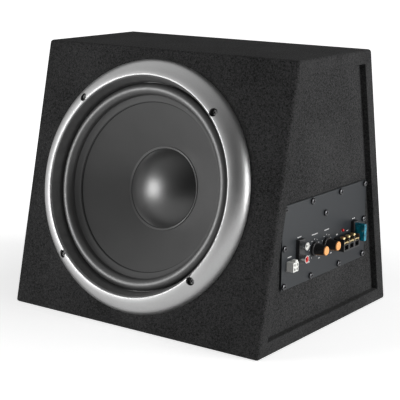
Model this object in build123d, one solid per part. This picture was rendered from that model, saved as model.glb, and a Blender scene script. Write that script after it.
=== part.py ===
from build123d import *
import os
from math import atan2, cos, degrees, sin, sqrt, tan

# Powered car subwoofer: a wedge-shaped carpeted cabinet, a 10-inch driver in its leaning front and an
# amplifier let into its right end.
#
# Millimetres, +Z up. The origin is the centre of the base's underside. The driver faces -Y and a little
# upwards, and the amplifier plate faces +X.

# ---------------------------------------------------------------- cabinet, outside the carpet
WIDTH = 330.0
HEIGHT = 293.0
BASE_DEPTH = 270.0
TOP_DEPTH = 149.0
FRONT_SETBACK = 65.0  # the front's top edge lies this far behind its bottom edge
BOARD = 12.0  # thickness of the fibreboard
CARPET = 1.5  # thickness of the carpet
END_RECESS = 7.5  # depth of the ends below the rim around them
EDGE_ROUND = 3.0  # carpet pulled over the long edges

# ---------------------------------------------------------------- driver, in its own frame
DRIVER_X = -6.0  # the driver sits a little left of the middle
DRIVER_UP = 153.0  # height of its centre, measured up the leaning front
CUTOUT_R = 119.0  # hole in the front board
FLANGE_R = 129.0
SHEET = 1.6  # sheet steel of the basket
RING_R = 136.0  # trim ring, at the carpet
LIP_R = 117.0  # its polished inner lip
RING_HEIGHT = 15.0
RING_WALL = 2.4
SCREW_COUNT = 4
SCREW_CIRCLE_R = 122.4
ROLL_OUTER_R = 111.2
ROLL_INNER_R = 97.8
ROLL_HEIGHT = 5.0  # crown of the surround above the carpet
RUBBER = 1.2
SURROUND_FOOT = 4.5  # width of the surround's foot on the basket
CONE_EDGE_DEPTH = 5.2  # cone's front surface at ROLL_INNER_R, below the carpet's face
CONE_WALL = 1.0
SEAM_R = 91.5  # where the surround's inner foot ends on the cone
CAP_R = 45.7
CAP_DEPTH = 36.6  # cone's front surface at CAP_R
CAP_CROWN = 14.0
CAP_WALL = 0.9
COIL_R = 25.2  # inside of the voice coil former
FORMER_WALL = 0.3
WINDING_WALL = 1.2
WINDING_LENGTH = 20.0
TRAVEL = 8.0  # the cone's travel each way
SPIDER_DEPTH = 60.6  # top of the basket's spider shelf
SPIDER_R = 72.0
SPIDER_WAVES = 5
SPIDER_WAVE = 1.6
SPIDER_CLOTH = 0.8
BASKET_DEPTH = 78.0  # inside of the basket's floor
BASKET_FLOOR_R = 60.0
TOP_PLATE = 8.0
TOP_PLATE_R = 56.0
MAGNET = 20.0
MAGNET_R = 60.0
BACK_PLATE = 8.0
BACK_PLATE_R = 58.0
POLE_R = 24.4
POLE_VENT_R = 8.0
GAP_R = 27.4  # bore of the top plate
WINDOWS = 6  # openings round the basket
WINDOW_WIDTH = 62.0
WINDOW_TOP = 14.0
WINDOW_BOTTOM = 52.0
TAG_ANGLE = -90.0  # the spoke that carries the terminals
TAG_SLOT = 12.0

# ---------------------------------------------------------------- amplifier, in its own frame
PLATE_Y = 0.9  # centre of the plate
PLATE_Z = 103.8
PLATE_WIDTH = 174.0
PLATE_HEIGHT = 88.0
PLATE_SHEET = 1.5
PLATE_GASKET = 0.8
AMP_MARGIN = 8.5  # plate's overlap round the cut-out in the end board
PLATE_SCREW_INSET = 4.0  # screws in from the plate's edges
PLATE_SCREW_INNER = 29.5  # the two inner columns, from the middle
CIRCUIT = 1.6  # circuit board thickness
CIRCUIT_TOP = -26.0  # component side, from the plate's centre
CIRCUIT_WIDTH = 150.0
CIRCUIT_DEPTH = 78.0
KNOB_ACROSS = (-22.9, 2.1)  # crossover knob, gain knob
KNOB_UP = -12.3
KNOB_R = 6.5
KNOB_TIP_R = 5.1
KNOB_LENGTH = 15.4
SKIRT_R = 7.7
SHAFT_R = 3.0
BUSH_R = 3.6
RCA_ACROSS = -53.9
RCA_UP = (-1.7, -15.6)  # left socket, right socket
RCA_R = 4.15
RCA_REACH = 10.0
RCA_PIN = 6.0  # bare barrel that a plug grips
CONNECTOR_ACROSS = -72.1
CONNECTOR_UP = -20.0
CONNECTOR_SIDE = 10.0
CONNECTOR_REACH = 8.0
TERMINALS = 3
TERMINAL_PITCH = 11.5
TERMINAL_ACROSS = 36.1
TERMINAL_BOTTOM = -23.2
TERMINAL_HEIGHT = 13.6
TERMINAL_REACH = 12.5
TERMINAL_WALL = 1.6
ENTRY_HEIGHT = 5.2  # wire entry
CLAMP_TRAVEL = 2.4
CLAMP_SCREW_R = 2.0
FUSE_ACROSS = 60.6
FUSE_UP = -9.3
FUSE_WIDTH = 5.1
FUSE_HEIGHT = 19.0
FUSE_BODY = 11.4
FUSE_HOLDER_REACH = 3.8
LED_R = 1.5
LED_UP = -4.0

# ---------------------------------------------------------------- clearances
FIT = 0.3  # between curved faces that don't touch
GLUE = 0.1  # a glue line
RUNNING = 0.06  # a shaft in its bush
PILOT = 0.1  # round a screw

# ---------------------------------------------------------------- sizes that follow
FRONT_LEAN = atan2(FRONT_SETBACK, HEIGHT)
REAR_LEAN = atan2(BASE_DEPTH - TOP_DEPTH - FRONT_SETBACK, HEIGHT)
CONE_SLOPE = atan2(CAP_DEPTH - CONE_EDGE_DEPTH, ROLL_INNER_R - CAP_R)
CONE_R = ROLL_INNER_R + RUBBER
FLOOR_X = WIDTH / 2 - END_RECESS  # carpet surface of the recessed ends
PLATE_FACE = PLATE_GASKET + PLATE_SHEET  # the plate's outer face, above that surface
RIM = CARPET + BOARD  # from the carpet's outside to the inside of a board
BASE = (Align.CENTER, Align.CENTER, Align.MIN)

DRIVER = Plane(
    origin=(
        DRIVER_X,
        -BASE_DEPTH / 2 + DRIVER_UP * sin(FRONT_LEAN),
        DRIVER_UP * cos(FRONT_LEAN),
    ),
    x_dir=(1, 0, 0),
    z_dir=(0, -cos(FRONT_LEAN), sin(FRONT_LEAN)),
)
AMP = Plane(origin=(FLOOR_X, PLATE_Y, PLATE_Z), x_dir=(0, 1, 0), z_dir=(1, 0, 0))


# ---------------------------------------------------------------- shapes used by many pieces
def prism(points, x0, x1):
    """A closed outline of (y, z) points, drawn out along X."""
    return extrude(Plane.YZ.offset(x0) * Polygon(*points, align=None), x1 - x0)


def turned(*points):
    """A closed outline of (radius, height) points, turned about Z."""
    return revolve(Plane.XZ * Polygon(*points, align=None), Axis.Z)


def turned_edges(*edges):
    """Edges that close a (radius, height) outline, turned about Z."""
    return revolve(Plane.XZ * make_face(list(edges)), Axis.Z)


def rod(radius, z0, z1, at=(0, 0)):
    return Pos(at[0], at[1], z0) * Cylinder(radius, z1 - z0, align=BASE)


def tube(outer, inner, z0, z1):
    return rod(outer, z0, z1) - rod(inner, z0, z1)


def block(x, y, z):
    """A box between two values on each axis."""
    return Pos(sum(x) / 2, sum(y) / 2, sum(z) / 2) * Box(x[1] - x[0], y[1] - y[0], z[1] - z[0])


def group(shapes):
    """Separate solids kept together in one node."""
    return Compound([solid for shape in shapes for solid in shape.solids()])


def around(count, radius, start=0.0):
    """Places evenly spaced on a circle, each turned to face outwards."""
    step = 360.0 / count
    return [Rot(0, 0, start + step * i) * Pos(radius, 0, 0) for i in range(count)]


def wire(points, radius, bend):
    """A round wire along straight runs joined by arcs."""
    path = FilletPolyline(*points, radius=bend)
    return sweep(Plane(origin=path @ 0, z_dir=path % 0) * Circle(radius), path=path)


def pan_screw(shank_r, length, head_r, head_h):
    """A cross-recessed pan-head screw that points down from its seat at height zero."""
    head = rod(head_r, 0, head_h)
    head = fillet(head.edges().group_by(Axis.Z)[-1], 0.55 * head_h)
    point = 2 * shank_r
    shank = rod(shank_r, point - length, 0)
    tip = Pos(0, 0, -length) * Cone(0.2, shank_r, point, align=BASE)
    recess = Box(1.1 * head_r, 0.24 * head_r, head_h) + Box(0.24 * head_r, 1.1 * head_r, head_h)
    return head + shank + tip - Pos(0, 0, head_h) * recess


# ---------------------------------------------------------------- cabinet
def front_y(z, inset):
    """The leaning front at height z, moved inwards."""
    return -BASE_DEPTH / 2 + z * tan(FRONT_LEAN) + inset / cos(FRONT_LEAN)


def rear_y(z, inset):
    return BASE_DEPTH / 2 - z * tan(REAR_LEAN) - inset / cos(REAR_LEAN)


def slice_of_profile(z0, z1, inset):
    """The cabinet's end view between two heights, with front and rear moved inwards."""
    return [
        (front_y(z0, inset), z0),
        (rear_y(z0, inset), z0),
        (rear_y(z1, inset), z1),
        (front_y(z1, inset), z1),
    ]


def end_view(inset):
    """The whole end view, moved inwards all round."""
    return slice_of_profile(inset, HEIGHT - inset, inset)


BOARD_X = WIDTH / 2 - CARPET
DRIVER_HOLE = DRIVER.location * rod(CUTOUT_R, -2 * BOARD, BOARD)


def driver_screw_holes(radius):
    return [DRIVER.location * (at * rod(radius, -2 * BOARD, BOARD)) for at in DRIVER_SCREWS]


DRIVER_SCREWS = around(SCREW_COUNT, SCREW_CIRCLE_R, 45)
DRIVER_SHANK_R = 1.9


def front_baffle():
    low, high = RIM, HEIGHT - RIM
    outline = [
        (front_y(low, CARPET), low),
        (front_y(low, RIM), low),
        (front_y(high, RIM), high),
        (front_y(high, CARPET), high),
    ]
    board = prism(outline, -BOARD_X, BOARD_X) - DRIVER_HOLE
    return board - driver_screw_holes(DRIVER_SHANK_R + PILOT)


def rear_board():
    low, high = RIM, HEIGHT - RIM
    outline = [
        (rear_y(low, RIM), low),
        (rear_y(low, CARPET), low),
        (rear_y(high, CARPET), high),
        (rear_y(high, RIM), high),
    ]
    return prism(outline, -BOARD_X, BOARD_X)


def base_board():
    return prism(slice_of_profile(CARPET, RIM, CARPET), -BOARD_X, BOARD_X)


def top_board():
    return prism(slice_of_profile(HEIGHT - RIM, HEIGHT - CARPET, CARPET), -BOARD_X, BOARD_X)


AMP_HOLE_WIDTH = PLATE_WIDTH - 2 * AMP_MARGIN
AMP_HOLE_HEIGHT = PLATE_HEIGHT - 2 * AMP_MARGIN
AMP_HOLE = AMP.location * Box(AMP_HOLE_WIDTH, AMP_HOLE_HEIGHT, 4 * BOARD)
PLATE_SHANK_R = 1.6
PLATE_SCREW_OUTER = PLATE_WIDTH / 2 - PLATE_SCREW_INSET
PLATE_SCREW_ROW = PLATE_HEIGHT / 2 - PLATE_SCREW_INSET
PLATE_SCREWS = [Pos(x, 0, 0) for x in (-PLATE_SCREW_OUTER, PLATE_SCREW_OUTER)] + [
    Pos(x, y, 0)
    for y in (-PLATE_SCREW_ROW, PLATE_SCREW_ROW)
    for x in (-PLATE_SCREW_OUTER, -PLATE_SCREW_INNER, PLATE_SCREW_INNER, PLATE_SCREW_OUTER)
]


def plate_screw_holes(radius):
    return [AMP.location * (at * rod(radius, -2 * BOARD, BOARD)) for at in PLATE_SCREWS]


def left_end_board():
    outer = FLOOR_X - CARPET
    return prism(end_view(RIM), -outer, -outer + BOARD)


def right_end_board():
    outer = FLOOR_X - CARPET
    board = prism(end_view(RIM), outer - BOARD, outer) - AMP_HOLE
    return board - plate_screw_holes(PLATE_SHANK_R + PILOT)


def base_carpet():
    return prism(slice_of_profile(0, CARPET, 0), -WIDTH / 2, WIDTH / 2)


def wrap_carpet():
    """Carpet over the front, top and rear, turned over the board edges and into both ends."""
    outside = prism(slice_of_profile(CARPET, HEIGHT, 0), -WIDTH / 2, WIDTH / 2)
    long_edges = outside.edges().filter_by(Axis.X).group_by(Axis.Z)[-1]
    outside = fillet(long_edges, EDGE_ROUND)
    boards = prism(end_view(CARPET), -BOARD_X, BOARD_X)
    skin = outside - boards - DRIVER_HOLE - driver_screw_holes(DRIVER_SHANK_R + PILOT)
    for side in (-1, 1):
        rim, floor = side * WIDTH / 2, side * FLOOR_X
        board_end = side * BOARD_X
        skin -= prism(end_view(RIM + CARPET), min(rim, floor), max(rim, floor))
        lining = prism(end_view(RIM), min(board_end, floor), max(board_end, floor))
        skin += lining - prism(end_view(RIM + CARPET), min(board_end, floor), max(board_end, floor))
    return skin


def end_carpets():
    left = prism(end_view(RIM), -FLOOR_X, -FLOOR_X + CARPET)
    right = prism(end_view(RIM), FLOOR_X - CARPET, FLOOR_X) - AMP_HOLE
    return group([left, right - plate_screw_holes(PLATE_SHANK_R + PILOT)])


# ---------------------------------------------------------------- driver
# Heights are along the driver's axis, with zero at the carpet's face.
HEAD_R = 3.9
HEAD_H = 2.6
RECESS_R = HEAD_R + 0.5
HEAD_SEAT = 8.3
SHELF = -RUBBER  # the surround's foot lies on this step of the basket
TOP_PLATE_TOP = -BASKET_DEPTH - SHEET
MAGNET_TOP = TOP_PLATE_TOP - TOP_PLATE
BACK_PLATE_TOP = MAGNET_TOP - MAGNET


def cone_height(radius):
    """Front surface of the straight-sided cone."""
    return -CONE_EDGE_DEPTH - (ROLL_INNER_R - radius) * tan(CONE_SLOPE)


def trim_ring():
    """A hollow ring with a convex flank, a rolled lip and a boss under each screw."""
    outer, lip = (RING_R, 0), (LIP_R + 1.8, RING_HEIGHT)
    span, bulge = RING_R - LIP_R, 0.5 * (RING_R - LIP_R)
    middle = (RING_R - 0.3 * span, 0.63 * RING_HEIGHT)
    inner_middle = (middle[0] - 0.7 * RING_WALL, middle[1] - 0.7 * RING_WALL)
    wall_r = LIP_R + RING_WALL
    body = turned_edges(
        ThreePointArc(outer, middle, lip),
        ThreePointArc(lip, (LIP_R + 0.5, RING_HEIGHT - 0.4), (LIP_R, RING_HEIGHT - 1.6)),
        Line((LIP_R, RING_HEIGHT - 1.6), (LIP_R, 0)),
        Line((LIP_R, 0), outer),
    )
    under = (wall_r, RING_HEIGHT - RING_WALL)
    hollow = turned_edges(
        Line((wall_r, 0), under),
        ThreePointArc(under, inner_middle, (RING_R - RING_WALL, 0)),
        Line((RING_R - RING_WALL, 0), (wall_r, 0)),
    )
    boss_r = RECESS_R + 0.2 * bulge
    bosses = [at * rod(boss_r, 0, RING_HEIGHT) for at in DRIVER_SCREWS]
    ring = body - hollow + [body & boss for boss in bosses]
    ring -= [at * rod(RECESS_R, HEAD_SEAT, 2 * RING_HEIGHT) for at in DRIVER_SCREWS]
    ring -= [at * rod(DRIVER_SHANK_R + FIT, -1, RING_HEIGHT) for at in DRIVER_SCREWS]
    return ring - rod(FLANGE_R + FIT, -1, SHEET)


def driver_gasket():
    """A wedge of rubber that clamps the surround and lines the ring's throat."""
    top = RING_HEIGHT - 1.6
    outside = LIP_R - FIT
    return turned((ROLL_OUTER_R + FIT, 0), (outside, 0), (outside, top), (outside - 0.6, top))


SHELF_R = ROLL_OUTER_R + FIT
SPIDER_SEAT_R = SPIDER_R + 4  # outside of the basket's spider shelf
BASKET_LEAN = atan2(SHELF_R - SPIDER_SEAT_R, SPIDER_DEPTH + SHELF)


def basket_wall(height):
    """Inside radius of the basket's cone-shaped wall."""
    return SPIDER_SEAT_R + (SPIDER_DEPTH + height) * tan(BASKET_LEAN)


def basket():
    """Pressed steel: a flange, a step for the surround, a windowed wall, a spider shelf and a floor."""
    spider_in = SPIDER_R - 8
    thick = SHEET / cos(BASKET_LEAN)
    shelf_under, spider_under = SHELF - SHEET, -SPIDER_DEPTH - SHEET
    frame = turned(
        (FLANGE_R, SHEET),
        (FLANGE_R, 0),
        (CUTOUT_R - FIT, 0),
        (CUTOUT_R - FIT, shelf_under),
        (basket_wall(shelf_under) + thick, shelf_under),
        (basket_wall(spider_under) + thick, spider_under),
        (spider_in + SHEET, spider_under),
        (BASKET_FLOOR_R + SHEET, TOP_PLATE_TOP),
        (GAP_R + 2, TOP_PLATE_TOP),
        (GAP_R + 2, -BASKET_DEPTH),
        (BASKET_FLOOR_R, -BASKET_DEPTH),
        (spider_in, -SPIDER_DEPTH),
        (SPIDER_SEAT_R, -SPIDER_DEPTH),
        (SHELF_R, SHELF),
        (LIP_R, SHELF),
        (LIP_R, SHEET),
    )
    reach = CUTOUT_R - SPIDER_R
    window = Box(reach, WINDOW_WIDTH, WINDOW_BOTTOM - WINDOW_TOP)
    window_height = -(WINDOW_BOTTOM + WINDOW_TOP) / 2
    radius = SPIDER_R + reach / 2
    frame -= [at * Pos(0, 0, window_height) * window for at in around(WINDOWS, radius)]
    frame -= [at * rod(DRIVER_SHANK_R + FIT, -1, 2 * SHEET) for at in DRIVER_SCREWS]
    return frame - terminal_place() * Box(TAG_SLOT, 14, 8)


def terminal_place():
    """Middle of the spoke that carries the terminals, with local Z out through the sheet."""
    height = -(WINDOW_TOP + WINDOW_BOTTOM) / 2
    outwards = Rot(0, 90 + degrees(BASKET_LEAN), 0)
    return Rot(0, 0, TAG_ANGLE) * Pos(basket_wall(height), 0, height) * outwards


def driver_terminals():
    """An insulating strip on the basket with two tags through the slot."""
    strip = Pos(0, 0, SHEET + FIT + 1.0) * Box(18, 20, 1.6)
    tags = [Pos(0, side * 5, 3) * Box(5, 0.8, 20) for side in (-1, 1)]
    holes = [Pos(0, side * 5, 3) * Box(5 + 2 * GLUE, 0.8 + 2 * GLUE, 20) for side in (-1, 1)]
    return group([terminal_place() * (strip - holes), *[terminal_place() * tag for tag in tags]])


def surround():
    """A half roll with a flat outer foot and an inner foot that follows the cone."""
    middle_r = (ROLL_OUTER_R + ROLL_INNER_R) / 2
    outer = (ROLL_OUTER_R - ROLL_INNER_R) / 2
    inner = outer - RUBBER
    middle = ROLL_HEIGHT - outer
    roll = turned_edges(
        ThreePointArc((middle_r + outer, middle), (middle_r, middle + outer), (middle_r - outer, middle)),
        Line((middle_r - outer, middle), (middle_r - inner, middle)),
        ThreePointArc((middle_r - inner, middle), (middle_r, middle + inner), (middle_r + inner, middle)),
        Line((middle_r + inner, middle), (middle_r + outer, middle)),
    )
    foot = tube(ROLL_OUTER_R + SURROUND_FOOT, ROLL_OUTER_R - RUBBER, SHELF, 0)
    edge, glue = cone_height(CONE_R) + GLUE, cone_height(SEAM_R) + GLUE
    leg = turned(
        (CONE_R, edge),
        (CONE_R, middle + GLUE),
        (ROLL_INNER_R, middle + GLUE),
        (ROLL_INNER_R, cone_height(ROLL_INNER_R) + 0.8),
        (SEAM_R, glue + 0.7),
        (SEAM_R, glue),
    )
    return roll + foot + leg


def cone():
    back = CONE_WALL / cos(CONE_SLOPE)
    neck_r = COIL_R + FORMER_WALL + GLUE
    neck, edge = cone_height(neck_r), cone_height(CONE_R)
    return turned((neck_r, neck), (CONE_R, edge), (CONE_R, edge - back), (neck_r, neck - back))


def dust_cap():
    """A shallow dome on a narrow glued rim."""
    shoulder_r = CAP_R - 2.6
    rim, shoulder = cone_height(CAP_R) + GLUE, cone_height(shoulder_r) + GLUE
    crown = rim + CAP_CROWN - CAP_WALL
    ball_r = (shoulder_r**2 + (crown - shoulder) ** 2) / (2 * (crown - shoulder))
    half = shoulder_r / 2
    half_height = crown - ball_r + sqrt(ball_r**2 - half**2)
    return turned_edges(
        Line((CAP_R, rim), (CAP_R, rim + CAP_WALL)),
        Line((CAP_R, rim + CAP_WALL), (shoulder_r, shoulder + CAP_WALL)),
        ThreePointArc(
            (shoulder_r, shoulder + CAP_WALL), (half, half_height + CAP_WALL), (0, crown + CAP_WALL)
        ),
        Line((0, crown + CAP_WALL), (0, crown)),
        ThreePointArc((0, crown), (half, half_height), (shoulder_r, shoulder)),
        Line((shoulder_r, shoulder), (CAP_R, rim)),
    )


def coil_middle():
    return TOP_PLATE_TOP - TOP_PLATE / 2


def coil_former():
    bottom = coil_middle() - WINDING_LENGTH / 2 - 1
    return tube(COIL_R + FORMER_WALL, COIL_R, bottom, cone_height(COIL_R) + 1)


def voice_coil():
    inside = COIL_R + FORMER_WALL + GLUE
    half = WINDING_LENGTH / 2
    return tube(inside + WINDING_WALL, inside, coil_middle() - half, coil_middle() + half)


def spider():
    """A corrugated cloth disc between the former and the basket's shelf."""
    inside = COIL_R + FORMER_WALL + FIT
    flat = SPIDER_R - 7
    count = 4 * SPIDER_WAVES
    top = []
    for i in range(count + 1):
        wave = SPIDER_WAVE * (0, 1, 0, -1)[i % 4]
        top.append((inside + 2 + (flat - inside - 2) * i / count, wave + SPIDER_CLOTH))
    top = [(inside, SPIDER_CLOTH), *top, (SPIDER_R, SPIDER_CLOTH)]
    bottom = [(r, z - SPIDER_CLOTH) for r, z in reversed(top)]
    return Pos(0, 0, -SPIDER_DEPTH) * turned(*top, *bottom)


def top_plate():
    return tube(TOP_PLATE_R, GAP_R, MAGNET_TOP, TOP_PLATE_TOP)


def magnet():
    return tube(MAGNET_R, GAP_R + 3, BACK_PLATE_TOP, MAGNET_TOP)


def pole_plate():
    """The back plate and the pole that stands on it, with a vent through both."""
    plate = rod(BACK_PLATE_R, BACK_PLATE_TOP - BACK_PLATE, BACK_PLATE_TOP)
    pole = rod(POLE_R, BACK_PLATE_TOP - 1, TOP_PLATE_TOP)
    return plate + pole - rod(POLE_VENT_R, BACK_PLATE_TOP - BACK_PLATE - 1, TOP_PLATE_TOP + 1)


def tinsel_leads():
    """Two braided leads that hang between the terminals and the back of the cone."""
    start = terminal_place().position
    radius, height = sqrt(start.X**2 + start.Y**2), start.Z
    near = radius - 9
    joint_r = 0.6 * SEAM_R
    cone_back = cone_height(joint_r) - 2 * CONE_WALL
    points = [(near, height), (near - 8, height - 7), (joint_r + 10, height - 6), (joint_r, cone_back)]
    leads = []
    for side in (-5, 5):
        route = [(r, side, z) for r, z in points]
        leads.append(Rot(0, 0, TAG_ANGLE) * wire(route, 0.7, 3.5))
    return group(leads)


def driver_screws():
    screw = pan_screw(DRIVER_SHANK_R, HEAD_SEAT + RIM + 2, HEAD_R, HEAD_H)
    return group([at * Pos(0, 0, HEAD_SEAT) * screw for at in DRIVER_SCREWS])


# ---------------------------------------------------------------- amplifier
# Local X runs to the rear, Y up and Z outwards, with zero at the carpet of the recessed end.
INSIDE = PLATE_GASKET  # the plate's inner face
HOLDER_HALF = (FUSE_WIDTH / 2 + 1.9, FUSE_HEIGHT / 2 + 2.0)
CLAMP_SCREW_OUT = TERMINAL_REACH - 5.2  # from the plate's face to the clamp screws' axes
TERMINAL_TOP = TERMINAL_BOTTOM + TERMINAL_HEIGHT
SINK_SCREW_ACROSS = -1.6
SINK_SCREW_UP = 22.5
SINK_SCREW_R = 1.9
SINK_WIDTH = 120.0
SINK_LENGTH = 50.0
SINK_FINS = 9
SINK_WALL = 4.0
SINK_TOP = AMP_HOLE_HEIGHT / 2 - 3
SINK_SLAB = SINK_TOP - 17


def terminal_width():
    return TERMINALS * TERMINAL_PITCH


def terminal_xs():
    return [TERMINAL_ACROSS + (i - (TERMINALS - 1) / 2) * TERMINAL_PITCH for i in range(TERMINALS)]


def amp_plate():
    plate = block(
        (-PLATE_WIDTH / 2, PLATE_WIDTH / 2),
        (-PLATE_HEIGHT / 2, PLATE_HEIGHT / 2),
        (PLATE_GASKET, PLATE_FACE),
    )
    plate = fillet(plate.edges().filter_by(Axis.Z), 1.0)
    through = (-1, 2 * PLATE_FACE)
    plate -= [at * rod(PLATE_SHANK_R + FIT, *through) for at in PLATE_SCREWS]
    plate -= [rod(BUSH_R + FIT, *through, at=(x, KNOB_UP)) for x in KNOB_ACROSS]
    plate -= rod(SINK_SCREW_R + FIT, *through, at=(SINK_SCREW_ACROSS, SINK_SCREW_UP))
    plate -= rod(LED_R + GLUE, *through, at=(TERMINAL_ACROSS, LED_UP))
    plate -= rca_block(through, FIT)
    half = CONNECTOR_SIDE / 2 + FIT
    plate -= Pos(CONNECTOR_ACROSS, CONNECTOR_UP, PLATE_FACE) * Box(2 * half, 2 * half, 4 * PLATE_FACE)
    plate -= terminal_body(through, FIT)
    half_width, half_height = HOLDER_HALF[0] + FIT, HOLDER_HALF[1] + FIT
    fuse_hole = Box(2 * half_width, 2 * half_height, 4 * PLATE_FACE)
    return plate - Pos(FUSE_ACROSS, FUSE_UP, PLATE_FACE) * fuse_hole


def amp_gasket():
    """Foam between the plate and the carpet, round the cut-out."""
    sheet = Box(PLATE_WIDTH - 2, PLATE_HEIGHT - 2, PLATE_GASKET, align=BASE)
    sheet -= Box(AMP_HOLE_WIDTH, AMP_HOLE_HEIGHT, PLATE_GASKET, align=BASE)
    return sheet - [at * rod(PLATE_SHANK_R + FIT, -1, 2) for at in PLATE_SCREWS]


def plate_screws():
    screw = pan_screw(PLATE_SHANK_R, PLATE_FACE + CARPET + BOARD - 1, 3.5, 2.2)
    return group([Pos(0, 0, PLATE_FACE) * at * screw for at in PLATE_SCREWS])


def heat_sink_screw():
    return Pos(SINK_SCREW_ACROSS, SINK_SCREW_UP, PLATE_FACE) * pan_screw(SINK_SCREW_R, 9, 3.5, 2.2)


def circuit_board():
    board = block(
        (-CIRCUIT_WIDTH / 2, CIRCUIT_WIDTH / 2),
        (CIRCUIT_TOP - CIRCUIT, CIRCUIT_TOP),
        (-1 - CIRCUIT_DEPTH, -1),
    )
    return board - [lead_hole(side) for side in (-1, 1)]


def heat_sink():
    """A finned shelf behind the plate, with a web down to the circuit board for the transistors."""
    half = SINK_WIDTH / 2
    foot = block((-half, half), (SINK_SLAB, SINK_TOP), (INSIDE - 5, INSIDE))
    slab = block((-half, half), (SINK_SLAB, SINK_SLAB + SINK_WALL), (INSIDE - SINK_LENGTH, INSIDE))
    web_back = INSIDE - SINK_LENGTH
    web = block((-half, half), (CIRCUIT_TOP, SINK_SLAB), (web_back, web_back + SINK_WALL))
    pitch = (SINK_WIDTH - 2) / (SINK_FINS - 1)
    fins = [
        Pos(-half + 1 + i * pitch, 0, 0) * block((-1, 1), (SINK_SLAB, SINK_TOP), (web_back, INSIDE))
        for i in range(SINK_FINS)
    ]
    sink = foot + slab + web + fins
    return sink - rod(SINK_SCREW_R + PILOT, INSIDE - 10, INSIDE + 1, at=(SINK_SCREW_ACROSS, SINK_SCREW_UP))


def power_transistors():
    """Four flat packages on the web, their legs in the circuit board's top."""
    back = INSIDE - SINK_LENGTH
    made = []
    for x in (-45, -15, 15, 45):
        body = block((x - 5, x + 5), (CIRCUIT_TOP + 6, CIRCUIT_TOP + 21), (back - 4.5, back))
        legs = [
            block((x + dx - 0.4, x + dx + 0.4), (CIRCUIT_TOP, CIRCUIT_TOP + 7), (back - 2.5, back - 2))
            for dx in (-2.5, 0, 2.5)
        ]
        made.append(body + legs)
    return group(made)


def capacitors():
    """Four electrolytic cans that stand on the board."""
    out = -1 - CIRCUIT_DEPTH + 11
    cans = []
    for x in (-55, -35, 35, 55):
        can = rod(8, 0, 25)
        can = fillet(can.edges().group_by(Axis.Z)[-1], 1.2)
        cans.append(Pos(x, CIRCUIT_TOP, out) * Rot(-90, 0, 0) * can)
    return group(cans)


def toroid():
    """A ring core with a visible winding, flat on the board."""
    core = tube(14, 8, 1.5, 11.5)
    turns = [at * Box(9.0, 2.2, 13, align=BASE) for at in around(18, 11.0)]
    return Pos(-20, CIRCUIT_TOP, -24 - 1.0) * Rot(-90, 0, 0) * (core + turns)


def rca_block(span, grow):
    """The black housing behind both line sockets."""
    low = RCA_UP[1] - RCA_R - 2.0
    high = RCA_UP[0] + RCA_R + 2.0
    half = RCA_R + 1.3
    return block(
        (RCA_ACROSS - half - grow, RCA_ACROSS + half + grow),
        (low - grow, high + grow),
        span,
    )


RCA_FRONT = PLATE_FACE + RCA_REACH - RCA_PIN
RCA_END = PLATE_FACE + RCA_REACH
RCA_TAIL_R = RCA_R - 0.2  # the barrel inside its housing
RCA_CORE_R = RCA_R - 1.0
RCA_HOLE_R = 1.65


def rca_housing():
    housing = rca_block((-14, RCA_FRONT), 0)
    low = RCA_UP[1] - RCA_R - 2.0
    housing += block((RCA_ACROSS - 4, RCA_ACROSS + 4), (CIRCUIT_TOP, low), (-14, -3))
    return housing - [rod(RCA_TAIL_R + GLUE, -4, RCA_END, at=(RCA_ACROSS, y)) for y in RCA_UP]


def rca_barrels():
    barrels = []
    for y in RCA_UP:
        barrel = tube(RCA_TAIL_R, RCA_CORE_R, -4, RCA_FRONT) + tube(RCA_R, RCA_CORE_R, RCA_FRONT, RCA_END)
        barrels.append(Pos(RCA_ACROSS, y, 0) * barrel)
    return group(barrels)


def rca_insulator(y):
    """Coloured core with the hole for the centre pin."""
    core = rod(RCA_CORE_R - GLUE, -4, RCA_END - 0.8)
    core -= rod(RCA_HOLE_R, -1, RCA_END)
    return Pos(RCA_ACROSS, y, 0) * core


def input_connector():
    """A white two-by-two socket with a latch ramp on top."""
    half = CONNECTOR_SIDE / 2
    end = PLATE_FACE + CONNECTOR_REACH
    body = block((-half, half), (-half, half), (-8, end))
    body = fillet(body.edges().group_by(Axis.Z)[-1], 0.5)
    body += block((0.5, half), (half, half + 1.6), (PLATE_FACE + 2.5, end - 1))
    body += block((-half, half), (CIRCUIT_TOP - CONNECTOR_UP, -half), (-8, -2))
    quarter = CONNECTOR_SIDE / 4 - 0.2
    for x in (-quarter, quarter):
        for y in (-quarter, quarter):
            body -= Pos(x, y, end) * Box(2.6, 2.6, 14)
            body += rod(0.55, -8, end - 1.5, at=(x, y))
    return Pos(CONNECTOR_ACROSS, CONNECTOR_UP, 0) * body


def potentiometers():
    """Boxed controls that hang behind the plate, each with a bush through it."""
    made = []
    for x in KNOB_ACROSS:
        body = block((-8, 8), (CIRCUIT_TOP - KNOB_UP, 8), (INSIDE - 9, INSIDE))
        body += rod(BUSH_R, INSIDE, PLATE_FACE + 2.4)
        body -= rod(SHAFT_R + RUNNING, INSIDE - 6, KNOB_END)
        made.append(Pos(x, KNOB_UP, 0) * body)
    return group(made)


NUT_R = 5.2


def pot_nuts():
    """A hexagon nut on each bush, hidden inside the knob's skirt."""
    nut = extrude(RegularPolygon(NUT_R, 6) - Circle(BUSH_R + GLUE), 2.0)
    return group([Pos(x, KNOB_UP, PLATE_FACE) * nut for x in KNOB_ACROSS])


KNOB_FOOT = PLATE_FACE + 0.5
KNOB_END = PLATE_FACE + KNOB_LENGTH
KNOB_CAP = 1.4  # thickness of the coloured disc
KNOB_BODY = KNOB_END - KNOB_CAP - KNOB_FOOT
SHAFT_END = KNOB_END - 5.0
POINTER = 240.0  # the pointer's direction at rest, seven o'clock


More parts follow.
